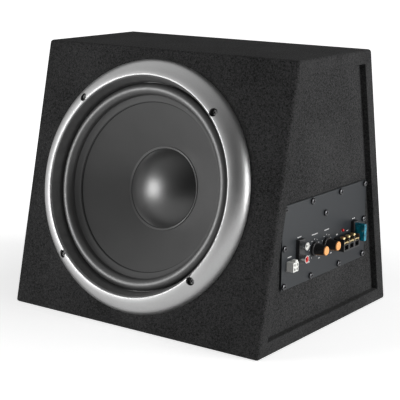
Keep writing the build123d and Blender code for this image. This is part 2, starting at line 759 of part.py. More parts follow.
def control_shaft(x):
    shaft = rod(SHAFT_R, INSIDE - 5.5, SHAFT_END)
    shaft -= block((SHAFT_R - 1.2, SHAFT_R), (-SHAFT_R, SHAFT_R), (KNOB_FOOT + 5, SHAFT_END))
    return Pos(x, KNOB_UP, 0) * shaft


def knob_groove():
    """Slot down one side for the coloured pointer."""
    slot = block((KNOB_TIP_R - 1.0, SKIRT_R + 1), (-0.6, 0.6), (KNOB_FOOT + 3.4, KNOB_END))
    return Rot(0, 0, POINTER) * slot


def knob_radius(height):
    """Outside of the knob's tapered body."""
    return KNOB_R - (KNOB_R - KNOB_TIP_R) * (height - KNOB_FOOT) / KNOB_BODY


def control_knob(x):
    """A ribbed, tapered body on a round skirt, hollow over the nut."""
    skirt = rod(SKIRT_R, KNOB_FOOT, KNOB_FOOT + 2.6)
    skirt = fillet(skirt.edges().group_by(Axis.Z)[-1], 0.8)
    body = Pos(0, 0, KNOB_FOOT) * Cone(KNOB_R, KNOB_TIP_R, KNOB_BODY, align=BASE)
    taper = Rot(0, -degrees(atan2(KNOB_R - KNOB_TIP_R, KNOB_BODY)), 0)
    rib_foot = KNOB_FOOT + 3.2
    ribs = [
        Pos(0, 0, rib_foot) * at * taper * rod(0.35, 0, KNOB_BODY - 4.2)
        for at in around(24, knob_radius(rib_foot))
    ]
    knob = body - ribs + skirt
    knob -= rod(NUT_R + 0.5, KNOB_FOOT - 1, KNOB_FOOT + 2.0)
    knob -= rod(SHAFT_R + GLUE, KNOB_FOOT, SHAFT_END + GLUE)
    return Pos(x, KNOB_UP, 0) * (knob - knob_groove())


def knob_cap(x):
    """Coloured disc on the knob's end, one piece with its pointer."""
    cap = rod(KNOB_TIP_R - 0.3, KNOB_END - KNOB_CAP, KNOB_END)
    cap = fillet(cap.edges().group_by(Axis.Z)[-1], 0.7)
    start, end = KNOB_FOOT + 3.5, KNOB_END - 1.0
    half = 0.5
    profile = [
        (KNOB_TIP_R - 0.9, start),
        (knob_radius(start) + GLUE, start),
        (knob_radius(end) - 2 * GLUE, end),
        (KNOB_TIP_R - 0.9, end),
    ]
    pointer = extrude(Plane.XZ.offset(-half) * Polygon(*profile, align=None), 2 * half)
    return Pos(x, KNOB_UP, 0) * (cap + Rot(0, 0, POINTER) * pointer)


def terminal_body(span, grow):
    half = terminal_width() / 2 + grow
    low, high = TERMINAL_BOTTOM - grow, TERMINAL_TOP + grow
    return block((TERMINAL_ACROSS - half, TERMINAL_ACROSS + half), (low, high), span)


CELL_HALF = TERMINAL_PITCH / 2 - TERMINAL_WALL / 2
ENTRY_LOW = TERMINAL_BOTTOM + TERMINAL_WALL
ENTRY_TOP = ENTRY_LOW + ENTRY_HEIGHT
TERMINAL_END = PLATE_FACE + TERMINAL_REACH
FRAME_WALL = 1.2
FRAME_TOP = TERMINAL_TOP - 3.4
CELL_BACK = PLATE_FACE + 1.6
CLAMP_OUT = PLATE_FACE + CLAMP_SCREW_OUT


def terminal_block():
    """A comb of cells: a wire entry low in the front of each, and an open top for its screw."""
    body = terminal_body((-9, TERMINAL_END), 0)
    depth = (CELL_BACK, TERMINAL_END + 1)
    for x in terminal_xs():
        across = (x - CELL_HALF, x + CELL_HALF)
        entry_across = (x - CELL_HALF + 1, x + CELL_HALF - 1)
        body -= block(across, (ENTRY_TOP + 1, TERMINAL_TOP + 1), depth)
        body -= block(entry_across, (ENTRY_LOW, ENTRY_TOP + 2), depth)
        body += block(entry_across, (ENTRY_TOP, ENTRY_TOP + 1), (TERMINAL_END - 1.2, TERMINAL_END))
    return body


def terminal_frames():
    """A bent metal saddle in each cell, tapped for the clamp screw."""
    frames = []
    for x in terminal_xs():
        half = CELL_HALF - GLUE
        low, front = ENTRY_TOP + 1.0, TERMINAL_END - 0.3
        saddle = block((x - half, x + half), (low, FRAME_TOP), (CELL_BACK, front))
        inner = half - FRAME_WALL
        under = (low - 1, FRAME_TOP - FRAME_WALL)
        saddle -= block((x - inner, x + inner), under, (CELL_BACK - 1, front + 1))
        hole = Pos(x, 0, CLAMP_OUT) * Rot(-90, 0, 0) * rod(CLAMP_SCREW_R + RUNNING, -40, 40)
        frames.append(saddle - hole)
    return group(frames)


CLAMP_HEAD_R = 2.9
CLAMP_HEAD = 1.8
CLAMP_HEAD_UNDER = FRAME_TOP + CLAMP_TRAVEL + 0.4
PAD_TOP = FRAME_TOP - FRAME_WALL - 0.6


def terminal_screw(x):
    """A slotted brass clamp screw, backed out to leave the entry open."""
    low = PAD_TOP + 0.1
    screw = rod(CLAMP_SCREW_R, low, CLAMP_HEAD_UNDER)
    head = rod(CLAMP_HEAD_R, CLAMP_HEAD_UNDER, CLAMP_HEAD_UNDER + CLAMP_HEAD)
    head = fillet(head.edges().group_by(Axis.Z)[-1], 0.5)
    head -= Pos(0, 0, CLAMP_HEAD_UNDER + CLAMP_HEAD) * Box(3 * CLAMP_HEAD_R, 0.8, 2.0)
    return Pos(x, 0, CLAMP_OUT) * Rot(-90, 0, 0) * (screw + head)


def terminal_pad(x):
    """The pressure plate that the screw pushes on to the wire."""
    half = CELL_HALF - FRAME_WALL - 0.5
    return block((x - half, x + half), (PAD_TOP - 0.9, PAD_TOP), (CLAMP_OUT - 2.6, CLAMP_OUT + 2.6))


HOLDER_FACE = PLATE_FACE + FUSE_HOLDER_REACH
BLADE_WIDTH = 5.2
BLADE = 0.65
BLADE_LENGTH = 7.0
BLADE_PITCH = FUSE_HEIGHT - BLADE_WIDTH - 0.6


def blade_places():
    return [FUSE_UP + side * BLADE_PITCH / 2 for side in (-1, 1)]


def fuse_holder():
    half_width, half_height = HOLDER_HALF
    holder = Pos(FUSE_ACROSS, FUSE_UP, 0) * block(
        (-half_width, half_width), (-half_height, half_height), (-12, HOLDER_FACE)
    )
    holder = fillet(holder.edges().group_by(Axis.Z)[-1], 0.6)
    for y in blade_places():
        slot = Box(BLADE + 2 * FIT, BLADE_WIDTH + 2 * FIT, 2 * BLADE_LENGTH + 2)
        holder -= Pos(FUSE_ACROSS, y, HOLDER_FACE) * slot
    return holder


def fuse_body():
    """Plastic body of a blade fuse: two shoulders joined by a thinner middle."""
    base = HOLDER_FACE + GLUE
    half_height = FUSE_HEIGHT / 2
    body = block((-FUSE_WIDTH / 2, FUSE_WIDTH / 2), (-half_height, half_height), (base, base + FUSE_BODY))
    body = fillet(body.edges().filter_by(Axis.Z), 0.6)
    for side in (-1, 1):
        dish = block((1.9, 3.0), (-half_height + 4, half_height - 4), (base - 1, base + FUSE_BODY - 2.6))
        body -= Rot(0, 0, 90 - 90 * side) * dish
    for y in (-BLADE_PITCH / 2, BLADE_PITCH / 2):
        body -= Pos(0, y, base) * Box(BLADE + 2 * GLUE, BLADE_WIDTH + 2 * GLUE, 4)
    return Pos(FUSE_ACROSS, FUSE_UP, 0) * body


def fuse_blades():
    base = HOLDER_FACE + GLUE
    return group([
        Pos(FUSE_ACROSS, y, base - BLADE_LENGTH) * Box(BLADE, BLADE_WIDTH, BLADE_LENGTH + 1.8, align=BASE)
        for y in blade_places()
    ])


def power_led():
    """A small lamp with a collar behind the plate."""
    dome = rod(LED_R, INSIDE - 4, PLATE_FACE + 0.8) + Pos(0, 0, PLATE_FACE + 0.8) * Sphere(LED_R)
    return Pos(TERMINAL_ACROSS, LED_UP, 0) * (dome + rod(LED_R + 0.5, INSIDE - 4, INSIDE))


# ---------------------------------------------------------------- leads from the amplifier to the driver
LEAD_R = 1.2


def lead_hole(side):
    place = (10 + 6 * side, -CIRCUIT_DEPTH + 6)
    return Pos(place[0], CIRCUIT_TOP, place[1]) * Rot(-90, 0, 0) * rod(LEAD_R + FIT, -10, 10)


def speaker_leads():
    """Two wires from the circuit board's rear, along the base and up to the driver's tags."""
    made = []
    for side in (-1, 1):
        tag = (DRIVER.location * terminal_place() * Pos(0, side * 5, 14.5)).position
        board = (AMP.location * Pos(10 + 6 * side, CIRCUIT_TOP - CIRCUIT / 2, -CIRCUIT_DEPTH + 6)).position
        low = RIM + 4
        route = [
            tag,
            (tag.X, tag.Y + 16, low + 8),
            (tag.X + 30, tag.Y + 50 + 4 * side, low),
            (board.X - 30, board.Y, low),
            (board.X, board.Y, low + 22),
            board,
        ]
        made.append(wire(route, LEAD_R, 9))
    return group(made)


# ---------------------------------------------------------------- the nodes
CABINET_PIECES = {
    "front_baffle": front_baffle(),
    "top_board": top_board(),
    "rear_board": rear_board(),
    "base_board": base_board(),
    "left_end_board": left_end_board(),
    "right_end_board": right_end_board(),
    "wrap_carpet": wrap_carpet(),
    "base_carpet": base_carpet(),
    "end_carpets": end_carpets(),
    "speaker_leads": speaker_leads(),
}
DRIVER_PIECES = {
    "trim_ring": trim_ring(),
    "driver_gasket": driver_gasket(),
    "basket": basket(),
    "surround": surround(),
    "cone": cone(),
    "dust_cap": dust_cap(),
    "coil_former": coil_former(),
    "voice_coil": voice_coil(),
    "spider": spider(),
    "top_plate": top_plate(),
    "magnet": magnet(),
    "pole_plate": pole_plate(),
    "driver_terminals": driver_terminals(),
    "tinsel_leads": tinsel_leads(),
    "driver_screws": driver_screws(),
}
AMPLIFIER_PIECES = {
    "amp_plate": amp_plate(),
    "amp_gasket": amp_gasket(),
    "plate_screws": plate_screws(),
    "heat_sink_screw": heat_sink_screw(),
    "circuit_board": circuit_board(),
    "heat_sink": heat_sink(),
    "power_transistors": power_transistors(),
    "capacitors": capacitors(),
    "toroid": toroid(),
    "rca_housing": rca_housing(),
    "rca_barrels": rca_barrels(),
    "rca_insulator_left": rca_insulator(RCA_UP[0]),
    "rca_insulator_right": rca_insulator(RCA_UP[1]),
    "input_connector": input_connector(),
    "potentiometers": potentiometers(),
    "pot_nuts": pot_nuts(),
    "terminal_block": terminal_block(),
    "terminal_frames": terminal_frames(),
    "fuse_holder": fuse_holder(),
    "fuse_body": fuse_body(),
    "fuse_blades": fuse_blades(),
    "power_led": power_led(),
}
for name, x in zip(("crossover", "gain"), KNOB_ACROSS):
    AMPLIFIER_PIECES[f"{name}_shaft"] = control_shaft(x)
    AMPLIFIER_PIECES[f"{name}_knob"] = control_knob(x)
    AMPLIFIER_PIECES[f"{name}_knob_cap"] = knob_cap(x)
for number, x in enumerate(terminal_xs(), 1):
    AMPLIFIER_PIECES[f"terminal_screw_{number}"] = terminal_screw(x)
    AMPLIFIER_PIECES[f"terminal_pad_{number}"] = terminal_pad(x)

os.makedirs("parts", exist_ok=True)
PLACES = (
    (CABINET_PIECES, Location()),
    (DRIVER_PIECES, DRIVER.location),
    (AMPLIFIER_PIECES, AMP.location),
)
for pieces, place in PLACES:
    for name, shape in pieces.items():
        export_step(place * shape, f"parts/{name}.step")
        print(name, len(shape.solids()), round(shape.volume))
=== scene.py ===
# %% [markdown]
# # A powered car subwoofer
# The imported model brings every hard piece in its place. This lesson adds what only a renderer needs:
# the soft pieces (carpet and rubber surround), a finish for every surface, the light and the camera.
# Lengths are in metres, +Z is up, and the origin is the centre of the cabinet's underside.

import math

import bmesh
import bpy
from mathutils import Matrix, Quaternion, Vector


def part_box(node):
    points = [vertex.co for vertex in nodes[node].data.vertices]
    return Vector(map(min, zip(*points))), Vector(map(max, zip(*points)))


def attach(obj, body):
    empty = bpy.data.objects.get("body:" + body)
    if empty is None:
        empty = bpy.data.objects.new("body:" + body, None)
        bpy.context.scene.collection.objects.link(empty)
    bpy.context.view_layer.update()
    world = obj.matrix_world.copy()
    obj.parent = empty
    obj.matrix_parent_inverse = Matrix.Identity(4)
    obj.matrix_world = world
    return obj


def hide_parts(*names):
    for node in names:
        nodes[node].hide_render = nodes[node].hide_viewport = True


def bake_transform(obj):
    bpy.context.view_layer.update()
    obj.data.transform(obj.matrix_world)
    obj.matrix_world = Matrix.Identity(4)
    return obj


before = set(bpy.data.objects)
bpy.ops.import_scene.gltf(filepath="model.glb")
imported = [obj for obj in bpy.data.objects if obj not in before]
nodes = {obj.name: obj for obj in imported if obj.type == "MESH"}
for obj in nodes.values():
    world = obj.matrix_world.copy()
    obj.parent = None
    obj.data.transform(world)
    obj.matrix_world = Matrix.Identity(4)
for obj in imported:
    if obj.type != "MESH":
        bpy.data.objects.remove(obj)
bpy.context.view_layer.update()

# %% [markdown]
# ## The two faces that matter
# The driver sits in the leaning front and the amplifier in the right end. Their pieces could be
# modelled where they are, with every point turned by hand. It is easier to model each one flat at
# the origin and to move it with one matrix, which is worked out here from the cabinet's sizes.

# %% Directions and places
base_low, base_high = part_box("base_carpet")
WIDTH = base_high.x - base_low.x
HEIGHT = 0.293
BASE_DEPTH = 0.270
TOP_DEPTH = 0.149
FRONT_SETBACK = 0.065
END_RECESS = 0.0075
RIM = 0.015
DRIVER_ACROSS = -0.006
DRIVER_UP = 0.153

LEAN = math.atan2(FRONT_SETBACK, HEIGHT)
OUT = Vector((0, -math.cos(LEAN), math.sin(LEAN)))
UP_SLOPE = Vector((0, math.sin(LEAN), math.cos(LEAN)))
ACROSS = Vector((1, 0, 0))
DRIVER = Vector((DRIVER_ACROSS, -BASE_DEPTH / 2, 0)) + DRIVER_UP * UP_SLOPE
plate_low, plate_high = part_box("amp_plate")
PLATE = Vector((plate_high.x, (plate_low.y + plate_high.y) / 2, (plate_low.z + plate_high.z) / 2))
TO_DRIVER = Matrix.Translation(DRIVER) @ Matrix((ACROSS, UP_SLOPE, OUT)).transposed().to_4x4()
print("driver", tuple(round(v, 4) for v in DRIVER), "lean", round(math.degrees(LEAN), 2))


# %% [markdown]
# ## Small helpers
# An operator acts on all that is selected, so each step first clears the selection and then picks its
# faces or edges by where they are. The same few lines could be repeated for every piece; as helpers
# they keep the steps short. A finished piece keeps its place in its mesh.

# %% Helpers for modelling
TINY = 0.00001


def clear_selection():
    for thing in bpy.context.selected_objects:
        thing.select_set(False)


def activate(piece):
    """Selects one piece and no other, and makes it the one that operators act on."""
    clear_selection()
    piece.select_set(True)
    bpy.context.view_layer.objects.active = piece
    return piece


def named(name):
    """The object that was just added, under its own name."""
    piece = bpy.context.object
    piece.name = name
    piece.data.name = name
    return piece


def settle(piece, matrix=None):
    """Puts the object's place into its mesh."""
    if matrix is not None:
        piece.matrix_world = matrix @ piece.matrix_world
    activate(piece)
    bpy.ops.object.transform_apply(location=True, rotation=True, scale=True)
    return piece


def pick(piece, kind, wanted):
    """Selects the vertices, edges or faces that wanted() says yes to, in edit mode."""
    activate(piece)
    bpy.ops.object.mode_set(mode="EDIT")
    bpy.ops.mesh.select_mode(type={"verts": "VERT", "edges": "EDGE", "faces": "FACE"}[kind])
    bpy.ops.mesh.select_all(action="DESELECT")
    mesh = bmesh.from_edit_mesh(piece.data)
    for item in getattr(mesh, kind):
        if wanted(item):
            item.select_set(True)
    mesh.select_flush(True)
    bmesh.update_edit_mesh(piece.data)


def leave_edit():
    bpy.ops.object.mode_set(mode="OBJECT")


def apply_modifier(piece, kind, **settings):
    """Adds a modifier, sets it and makes its result the piece's own mesh."""
    activate(piece)
    modifier = piece.modifiers.new(kind.title(), kind)
    for key, value in settings.items():
        setattr(modifier, key, value)
    bpy.ops.object.modifier_apply(modifier=modifier.name)


def smooth(piece, angle):
    """Shades a piece smoothly, except where its faces meet at more than the angle."""
    activate(piece)
    bpy.ops.object.shade_smooth_by_angle(angle=math.radians(angle))


print("modelling helpers ready, points closer than", TINY, "m are merged")

# %% [markdown]
# ## Camera
# A long lens from the right of the front and a little above the top, rolled by half a degree. It
# could be aimed at an empty with a constraint. A direction and a roll say the same in two values and
# leave nothing extra in the scene.

# %% Camera
CAMERA_PLACE = (0.78831, -1.10577, 0.42527)
LOOK = Vector((-0.568028, 0.792755, -0.221096))
ROLL = math.radians(0.576)
bpy.ops.object.camera_add(location=CAMERA_PLACE)
camera = bpy.context.object
camera.rotation_mode = "QUATERNION"
camera.rotation_quaternion = LOOK.to_track_quat("-Z", "Y") @ Quaternion((0, 0, 1), ROLL)
camera.data.sensor_width = 36
camera.data.lens = 110.68
camera.data.clip_end = 50
bpy.context.scene.camera = camera
print("camera", tuple(round(v, 3) for v in camera.location), "lens", camera.data.lens)


# %% [markdown]
# ## Writing finishes
# A finish varies over a surface: mottling, grain, dust. Its nodes could be added and linked one by
# one, but the maths reads best as expressions, so a small class wraps a socket and turns + - * < >
# into Math nodes. One method adds any other node.

# %% Sockets with arithmetic
class Value:
    """A socket that can be used in arithmetic."""

    def __init__(self, tree, socket):
        self.tree = tree
        self.socket = socket

    def math(self, operation, *others):
        step = self.tree.nodes.new("ShaderNodeMath")
        step.operation = operation
        for place, item in zip(step.inputs, others):
            put(self.tree, item, place)
        return Value(self.tree, step.outputs[0])

    def __add__(self, other):
        return self.math("ADD", self, other)

    def __radd__(self, other):
        return self.math("ADD", other, self)

    def __sub__(self, other):
        return self.math("SUBTRACT", self, other)

    def __rsub__(self, other):
        return self.math("SUBTRACT", other, self)

    def __mul__(self, other):
        return self.math("MULTIPLY", self, other)

    def __rmul__(self, other):
        return self.math("MULTIPLY", other, self)

    def __gt__(self, other):
        return self.math("GREATER_THAN", self, other)

    def __lt__(self, other):
        return self.math("LESS_THAN", self, other)

    def between(self, low, high):
        """The value, kept from going under low or over high."""
        raised = self.math("MAXIMUM", self, low)
        return raised.math("MINIMUM", raised, high)


def put(tree, item, place):
    """Links a value or a socket to an input, or sets the input to a number or a colour."""
    if isinstance(item, Value):
        item = item.socket
    if isinstance(item, bpy.types.NodeSocket):
        tree.links.new(item, place)
    else:
        place.default_value = item


print("values work with + - * < > and between()")


# %% One material with its nodes
class Finish:
    """A material with one Principled shader."""

    def __init__(self, name, color, roughness, metallic=0.0, **uniform):
        self.material = bpy.data.materials.new(name)
        self.material.use_nodes = True
        self.tree = self.material.node_tree
        self.shader = self.tree.nodes["Principled BSDF"]
        self.set("Base Color", (*color, 1))
        self.set("Roughness", roughness)
        self.set("Metallic", metallic)
        for key, value in uniform.items():
            self.set(key.replace("_", " "), value)

    def set(self, socket, item):
        put(self.tree, item, self.shader.inputs[socket])

    def node(self, kind, settings=None, inputs=None, output=0):
        """Adds any node: its settings first, then its inputs by name or number."""
        made = self.tree.nodes.new("ShaderNode" + kind)
        for key, value in (settings or {}).items():
            setattr(made, key, value)
        for key, value in (inputs or {}).items():
            put(self.tree, value, made.inputs[key])
        return Value(self.tree, made.outputs[output])

    def object_place(self):
        """Object coordinates: the fourth output of Texture Coordinate."""
        return self.node("TexCoord", output=3)

    def noise(self, scale, detail, roughness):
        inputs = {"Scale": scale, "Detail": detail, "Roughness": roughness, "Vector": self.object_place()}
        return self.node("TexNoise", None, inputs)

    def along(self, direction, origin):
        """Distance along a direction from a point."""
        moved = self.node(
            "VectorMath", {"operation": "SUBTRACT"}, {0: self.object_place(), 1: tuple(origin)}
        )
        return self.node("VectorMath", {"operation": "DOT_PRODUCT"}, {0: moved, 1: tuple(direction)}, 1)

    def mix(self, factor, first, second):
        """Two colours mixed by a value. A Mix node's colours are its inputs 6 and 7."""
        ends = [(*end, 1) if isinstance(end, tuple) else end for end in (first, second)]
        return self.node("Mix", {"data_type": "RGBA"}, {0: factor, 6: ends[0], 7: ends[1]}, 2)

    def bump(self, height, strength, distance):
        inputs = {"Height": height, "Strength": strength, "Distance": distance}
        self.set("Normal", self.node("Bump", None, inputs))


def coat(made, *names):
    """Gives a finish to CAD nodes by name, and returns it."""
    for name in names:
        piece = nodes[name]
        if not piece.material_slots:
            piece.data.materials.append(made.material)
        for slot in piece.material_slots:
            slot.material = made.material
    return made


def dress(piece, made):
    """Gives a finish to a piece that was modelled here."""
    piece.data.materials.clear()
    piece.data.materials.append(made.material)


def grey(level):
    return (level, level, level)


print("finishes ready for", len(nodes), "nodes")

# %% [markdown]
# ## Carpet finish
# Car-audio carpet is a needle-punched felt: matt, almost black, with a fine tangle of fibres that
# catches a little light. Real hairs would need far too many strands. Three noises mottle the colour
# instead, and the two finer ones also raise the fibres.

# %% Carpet finish
carpet_felt = Finish(
    "carpet_felt", grey(0.02), roughness=0.95, Sheen_Weight=0.03, Sheen_Roughness=0.5, Specular_IOR_Level=0.08
)
fibres = carpet_felt.noise(scale=1000, detail=4, roughness=0.8)
tufts = carpet_felt.noise(scale=420, detail=2, roughness=0.6)
patches = carpet_felt.noise(scale=14, detail=2, roughness=0.5)
MEAN_SHADE = 0.42
shade = (fibres - 0.5) * 3.0 + (tufts - 0.5) + (patches - 0.5) * 0.5 + MEAN_SHADE
carpet_felt.set("Base Color", carpet_felt.mix(shade.between(0, 1), grey(0.004), (0.066, 0.066, 0.067)))
carpet_felt.bump(fibres * 0.6 + tufts * 0.4, strength=1.0, distance=0.0009)
print("carpet finish has", len(carpet_felt.tree.nodes), "nodes")

# %% [markdown]
# ## The carpet cover
# One felt is glued over all the boards and turned over the rims into both ends. It could be a cloth
# simulation, but glued felt doesn't drape. So it starts as a cube that is narrowed at the top into
# the wedge and gets soft edges.

# %% Wedge with soft edges
FELT = 0.0015
SOFT_EDGE = 0.0032
bpy.ops.mesh.primitive_cube_add(size=1, location=(0, 0, HEIGHT / 2))
carpet = named("carpet_cover")
carpet.scale = (WIDTH, BASE_DEPTH, HEIGHT)
settle(carpet)
pick(carpet, "verts", lambda v: v.co.z > HEIGHT / 2)
bpy.ops.transform.resize(value=(1, TOP_DEPTH / BASE_DEPTH, 1), center_override=(0, 0, HEIGHT))
bpy.ops.transform.translate(value=(0, -BASE_DEPTH / 2 + FRONT_SETBACK + TOP_DEPTH / 2, 0))
bpy.ops.mesh.select_all(action="SELECT")
bpy.ops.mesh.bevel(offset=SOFT_EDGE, segments=4, affect="EDGES", clamp_overlap=True)
leave_edit()
print("wedge faces", len(carpet.data.polygons))

# %% [markdown]
# ## The felt in the ends
# Each end board lies behind a rim, and the felt follows it down. A cut with a box would leave a sharp
# edge, while three insets give the flat rim, a narrow turned edge and the wall down to the panel.
# Solidify then gives the felt its thickness, inwards.

# %% Sunk panels in both ends
TURN_WIDTH = 0.0012
TURN_DEPTH = 0.0007
WALL_SLANT = 0.0002
SMALLEST_END = 0.02


def end_panel(face):
    """The large flat faces that look left and right."""
    return abs(face.normal.x) > 0.99 and face.calc_area() > SMALLEST_END


pick(carpet, "faces", end_panel)
bpy.ops.mesh.inset(thickness=RIM - SOFT_EDGE - TURN_WIDTH, use_even_offset=True, use_individual=True)
bpy.ops.mesh.inset(thickness=TURN_WIDTH, depth=-TURN_DEPTH, use_even_offset=True, use_individual=True)
bpy.ops.mesh.inset(
    thickness=WALL_SLANT, depth=TURN_DEPTH - END_RECESS, use_even_offset=True, use_individual=True
)
leave_edit()
apply_modifier(carpet, "SOLIDIFY", thickness=FELT, offset=-1, use_even_offset=True)
print("ends sunk by", END_RECESS, "faces", len(carpet.data.polygons))


# %% [markdown]
# ## Openings in the felt
# The felt is cut out round the driver and behind the amplifier's plate, as the fitter's knife does.
# The holes could be built into the wedge's faces, but a round hole in a leaning face is simplest as a
# boolean with a cylinder. The plate laps over its cut-out, so the felt's edge is hidden.

# %% Holes for the driver and the amplifier
DRIVER_HOLE = 0.1195
DRIVER_CUT_DEPTH = 0.03
PLATE_LAP = 0.0085
PLATE_CUT_DEPTH = 0.02


def cut_away(piece, cutter):
    """Cuts one piece with another and removes the cutter."""
    apply_modifier(piece, "BOOLEAN", operation="DIFFERENCE", solver="EXACT", object=cutter)
    bpy.data.objects.remove(cutter)


bpy.ops.mesh.primitive_cylinder_add(vertices=128, radius=DRIVER_HOLE, depth=DRIVER_CUT_DEPTH)
cut_away(carpet, settle(named("driver_cutter"), TO_DRIVER))
plate_size = plate_high - plate_low
bpy.ops.mesh.primitive_cube_add(size=1, location=PLATE)
cutter = named("amp_cutter")
cutter.scale = (PLATE_CUT_DEPTH, plate_size.y - 2 * PLATE_LAP, plate_size.z - 2 * PLATE_LAP)
cut_away(carpet, settle(cutter))
smooth(carpet, 40)
dress(carpet, carpet_felt)
print("openings cut, faces", len(carpet.data.polygons))

# %% The cover in the model
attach(carpet, "enclosure")
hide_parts("wrap_carpet", "base_carpet", "end_carpets")
print("carpet", len(carpet.data.polygons), "faces")

# %% [markdown]
# ## Rubber finish
# The surround is soft black rubber, a little dusty, and duller where its foot is glued to the cone.
# Roll and foot could be two materials, but the distance from the driver's axis tells them apart, so
# one finish covers both.

# %% Rubber finish
FOOT_RADIUS = 0.0980
rubber = Finish("surround_rubber", grey(0.02), roughness=0.4, Specular_IOR_Level=1.0)


def from_axis(made):
    """Distance of a point from the driver's axis."""
    along_x = made.along(ACROSS, DRIVER)
    along_slope = made.along(UP_SLOPE, DRIVER)
    squares = along_x * along_x + along_slope * along_slope
    return squares.math("SQRT", squares)


grime = rubber.noise(scale=90, detail=3, roughness=0.6)
grain = rubber.noise(scale=1500, detail=2, roughness=0.5)
foot = from_axis(rubber) < FOOT_RADIUS
rubber_tone = rubber.mix(grime, grey(0.034), grey(0.052))
foot_tone = rubber.mix(grime, grey(0.052), grey(0.066))
rubber.set("Base Color", rubber.mix(foot, rubber_tone, foot_tone))
rubber.set("Roughness", 0.38 + grime * 0.12 + foot * 0.1)
rubber.bump(grain, strength=0.25, distance=0.0002)
print("rubber foot inside radius", FOOT_RADIUS)

# %% [markdown]
# ## Profile of the surround
# In section the surround is a half roll with a flat outer foot on the basket and an inner foot that
# lies on the cone. It could be a curve with a bevel, but half of a circle, with its two ends extruded
# along, keeps every point where the section needs it.

# %% Profile of the surround
ROLL_OUTER = 0.1112
ROLL_INNER = 0.0978
ROLL_CROWN = 0.0050
RUBBER = 0.0012
CONE_EDGE = -0.0052
CONE_RISE = 0.6027
roll_middle = (ROLL_OUTER + ROLL_INNER) / 2
roll_radius = (ROLL_OUTER - ROLL_INNER) / 2 - RUBBER / 2
roll_centre = ROLL_CROWN - (ROLL_OUTER - ROLL_INNER) / 2
OUTER_FOOT = [(0.0001, 0.0010), (0.0005, 0.0001), (0.0042, 0)]
INNER_FOOT = [(0.0002, -0.0020), (-0.0008, -0.0008), (-0.0056, -0.0056 * CONE_RISE)]


def surround_profile():
    """The half roll, and each foot as steps across and up from the roll's end."""
    bpy.ops.mesh.primitive_circle_add(
        vertices=40, radius=roll_radius, location=(roll_middle, 0, roll_centre), rotation=(math.pi / 2, 0, 0)
    )
    line = settle(named("surround_00"))
    pick(line, "verts", lambda v: v.co.z < roll_centre - TINY)
    bpy.ops.mesh.delete(type="VERT")
    for side, path in ((1, OUTER_FOOT), (-1, INNER_FOOT)):
        tip = max((side * v.co.x for v in line.data.vertices))
        pick(line, "verts", lambda v: side * v.co.x > tip - TINY)
        for across, up in path:
            move = {"value": (across, 0, up)}
            bpy.ops.mesh.extrude_vertices_move(TRANSFORM_OT_translate=move)
        leave_edit()
    return line


first = surround_profile()
print("profile points", len(first.data.vertices), "roll radius", round(roll_radius, 5))

# %% [markdown]
# ## One sector of the surround
# The roll must bend as the cone moves: its outer foot stays on the basket while its inner foot goes
# with the cone. A whole ring would be one spin of the profile, but a piece bends along one straight
# direction only. So the ring is made as 24 equal sectors that share their edges.

# %% One sector
SECTORS = 24
STEPS = 12
pick(first, "verts", lambda v: True)
bpy.ops.transform.rotate(
    value=math.radians(180 / SECTORS), orient_axis="Z", center_override=(0, 0, 0)
)
bpy.ops.mesh.spin(steps=STEPS, angle=math.radians(360 / SECTORS), center=(0, 0, 0), axis=(0, 0, 1))
bpy.ops.mesh.remove_doubles(threshold=TINY)
bpy.ops.mesh.normals_make_consistent(inside=False)
leave_edit()
corners = [math.degrees(math.atan2(v.co.y, v.co.x)) for v in first.data.vertices]
print("sector from", round(min(corners), 2), "to", round(max(corners), 2), "degrees")

# %% The sector centred, with its wall
turn_back = Matrix.Rotation(math.radians(-(min(corners) + max(corners)) / 2), 4, "Z")
settle(first, turn_back)
upwards = sum(face.normal.z * face.area for face in first.data.polygons)
if upwards < 0:
    pick(first, "faces", lambda f: True)
    bpy.ops.mesh.flip_normals()
    leave_edit()
apply_modifier(first, "SOLIDIFY", thickness=RUBBER, offset=0, use_even_offset=True)
smooth(first, 40)
dress(first, rubber)
print("one sector has", len(first.data.polygons), "faces")

# %% [markdown]
# ## All the sectors
# The first sector is copied round the driver, each copy with its own mesh, and the first itself takes the
# last place. An array would be shorter, but its copies would stay one piece.

# %% Sectors round the driver
for number in range(SECTORS):
    angle = 2 * math.pi * number / SECTORS
    sector = first
    if number < SECTORS - 1:
        sector = first.copy()
        sector.data = first.data.copy()
        bpy.context.collection.objects.link(sector)
    sector.name = f"surround_{number + 1:02d}"
    settle(sector, TO_DRIVER @ Matrix.Rotation(angle, 4, "Z"))
    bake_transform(sector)
    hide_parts("surround")
print("surround sectors", SECTORS, "faces each", len(first.data.polygons))

# %% [markdown]
# ## Trim ring
# Cast and plated: a satin flank and a lip that is polished bright, with a narrow band between them given a
# darker colour as painted shade. Three materials on faces picked by hand would do, but the ring is a imported
# piece whose mesh is left alone. The distance from the driver's axis tells the parts apart instead.

# %% Ring finish
LIP_EDGE = 0.1179
SHADED_BAND_EDGE = 0.1189
ring = coat(Finish("ring_satin_metal", grey(0.60), roughness=0.3, metallic=1.0), "trim_ring")
lip = from_axis(ring) < LIP_EDGE
# Painted shade: the narrow band between lip and flank gets a darker colour.
shaded_band = (from_axis(ring) > LIP_EDGE) * (from_axis(ring) < SHADED_BAND_EDGE)
casting = ring.noise(scale=900, detail=4, roughness=0.7)
smudge = ring.noise(scale=22, detail=2, roughness=0.5)
flank = ring.mix(casting * 0.7 + smudge * 0.3, grey(0.44), grey(0.64))
flank_roughness = 0.37 + (casting - 0.5) * 0.16 + smudge * 0.05
ring.set("Roughness", flank_roughness * (1 - lip) + lip * 0.36)
ring.set("Base Color", ring.mix(shaded_band, ring.mix(lip, flank, grey(0.64)), grey(0.34)))
ring.bump(casting, strength=0.12, distance=0.0001)
print("ring lip inside", LIP_EDGE, "groove to", SHADED_BAND_EDGE)
